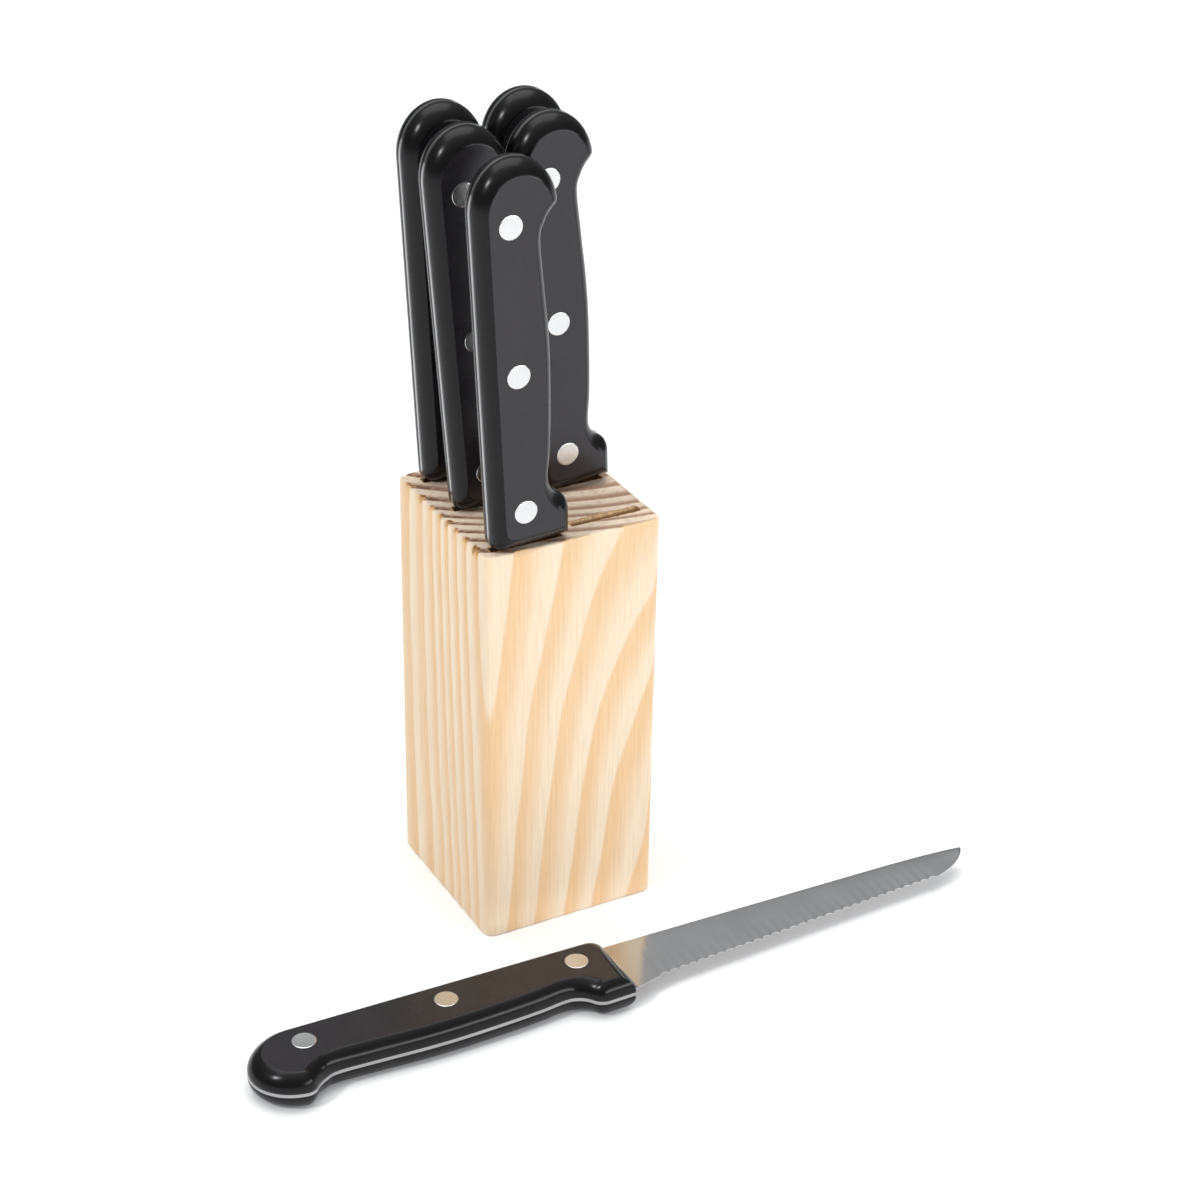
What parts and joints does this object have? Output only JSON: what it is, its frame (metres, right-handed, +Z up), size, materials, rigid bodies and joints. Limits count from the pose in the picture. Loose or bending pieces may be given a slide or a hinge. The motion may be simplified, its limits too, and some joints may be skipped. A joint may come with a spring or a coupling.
{
  "type": "knife block with knives",
  "caption": "Small slotted wood block holding toothed steak knives with dark riveted full-tang handles, one knife taken out and lying in front",
  "frame": {"origin": "centre of the underside of the block", "axes": "+Z up along the block's upright edges, -Y out of the block's front face, +X along the two columns of slots, away from the side the handles lean to"},
  "size_m": [0.2229, 0.1021, 0.2265],
  "materials": {
    "pine": "bare sanded softwood with clear growth rings, rough torn fibres at the slots and top edges",
    "blade_steel": "finely ground stainless steel, near mirror on the flanks",
    "handle_plastic": "near-black moulded plastic, satin on the flat and glossy on the bevels",
    "rivet_metal": "pale polished rivet ends, flush with the scales"
  },
  "bodies": {
    "block": {"block": "pine"},
    "knife_front_left": {"knife_front_left_blade_and_tang": "blade_steel", "knife_front_left_scale_outer": "handle_plastic", "knife_front_left_scale_inner": "handle_plastic", "knife_front_left_rivet_guard": "rivet_metal", "knife_front_left_rivet_middle": "rivet_metal", "knife_front_left_rivet_butt": "rivet_metal"},
    "knife_front_right": {"knife_front_right_blade_and_tang": "blade_steel", "knife_front_right_scale_outer": "handle_plastic", "knife_front_right_scale_inner": "handle_plastic", "knife_front_right_rivet_guard": "rivet_metal", "knife_front_right_rivet_middle": "rivet_metal", "knife_front_right_rivet_butt": "rivet_metal"},
    "knife_middle_left": {"knife_middle_left_blade_and_tang": "blade_steel", "knife_middle_left_scale_outer": "handle_plastic", "knife_middle_left_scale_inner": "handle_plastic", "knife_middle_left_rivet_guard": "rivet_metal", "knife_middle_left_rivet_middle": "rivet_metal", "knife_middle_left_rivet_butt": "rivet_metal"},
    "knife_middle_right": {"knife_middle_right_blade_and_tang": "blade_steel", "knife_middle_right_scale_outer": "handle_plastic", "knife_middle_right_scale_inner": "handle_plastic", "knife_middle_right_rivet_guard": "rivet_metal", "knife_middle_right_rivet_middle": "rivet_metal", "knife_middle_right_rivet_butt": "rivet_metal"},
    "knife_back_left": {"knife_back_left_blade_and_tang": "blade_steel", "knife_back_left_scale_outer": "handle_plastic", "knife_back_left_scale_inner": "handle_plastic", "knife_back_left_rivet_guard": "rivet_metal", "knife_back_left_rivet_middle": "rivet_metal", "knife_back_left_rivet_butt": "rivet_metal"},
    "knife_back_right": {"knife_back_right_blade_and_tang": "blade_steel", "knife_back_right_scale_outer": "handle_plastic", "knife_back_right_scale_inner": "handle_plastic", "knife_back_right_rivet_guard": "rivet_metal", "knife_back_right_rivet_middle": "rivet_metal", "knife_back_right_rivet_butt": "rivet_metal"}
  },
  "joints": [
    {"name": "draw_front_left", "type": "slide", "parent": "block", "child": "knife_front_left", "axis": [-0.0558, 0, 0.9984], "range_m": [0, 0.119]},
    {"name": "lift_front_right", "type": "slide", "parent": "block", "child": "knife_front_right", "axis": [0, 0, 1], "range_m": [0, 0.15]},
    {"name": "draw_middle_left", "type": "slide", "parent": "block", "child": "knife_middle_left", "axis": [-0.0802, 0, 0.9968], "range_m": [0, 0.119]},
    {"name": "draw_middle_right", "type": "slide", "parent": "block", "child": "knife_middle_right", "axis": [-0.0802, 0, 0.9968], "range_m": [0, 0.119]},
    {"name": "draw_back_left", "type": "slide", "parent": "block", "child": "knife_back_left", "axis": [-0.0523, 0, 0.9986], "range_m": [0, 0.119]},
    {"name": "draw_back_right", "type": "slide", "parent": "block", "child": "knife_back_right", "axis": [-0.0523, 0, 0.9986], "range_m": [0, 0.119]}
  ]
}
